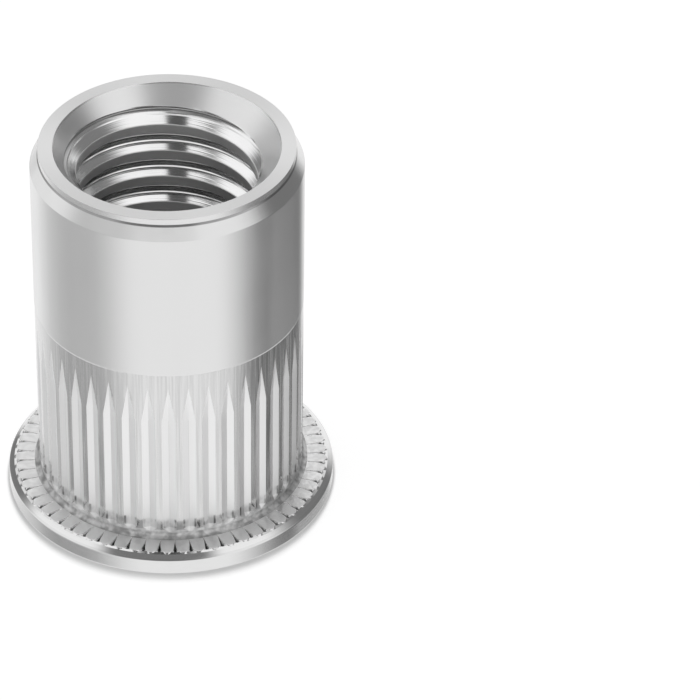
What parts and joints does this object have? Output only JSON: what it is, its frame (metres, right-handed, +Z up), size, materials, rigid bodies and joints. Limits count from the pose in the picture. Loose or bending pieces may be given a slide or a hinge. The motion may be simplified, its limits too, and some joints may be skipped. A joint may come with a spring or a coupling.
{
  "type": "rivet nut",
  "caption": "Knurled flat-head rivet nut with a serrated flange: set in a hole in sheet metal, it gives thin sheet a strong metric threaded bore.",
  "frame": {"origin": "centre of the flange's flat outer face, where the thread axis meets it", "axes": "+Z up the barrel along the thread axis, from the flange to the threaded end"},
  "size_m": [0.016, 0.016, 0.0195],
  "materials": {
    "bright_steel": "bright plated steel, polished barrel, satin knurl and serrations"
  },
  "bodies": {
    "root": {"rivet_nut": "bright_steel"}
  },
  "joints": []
}
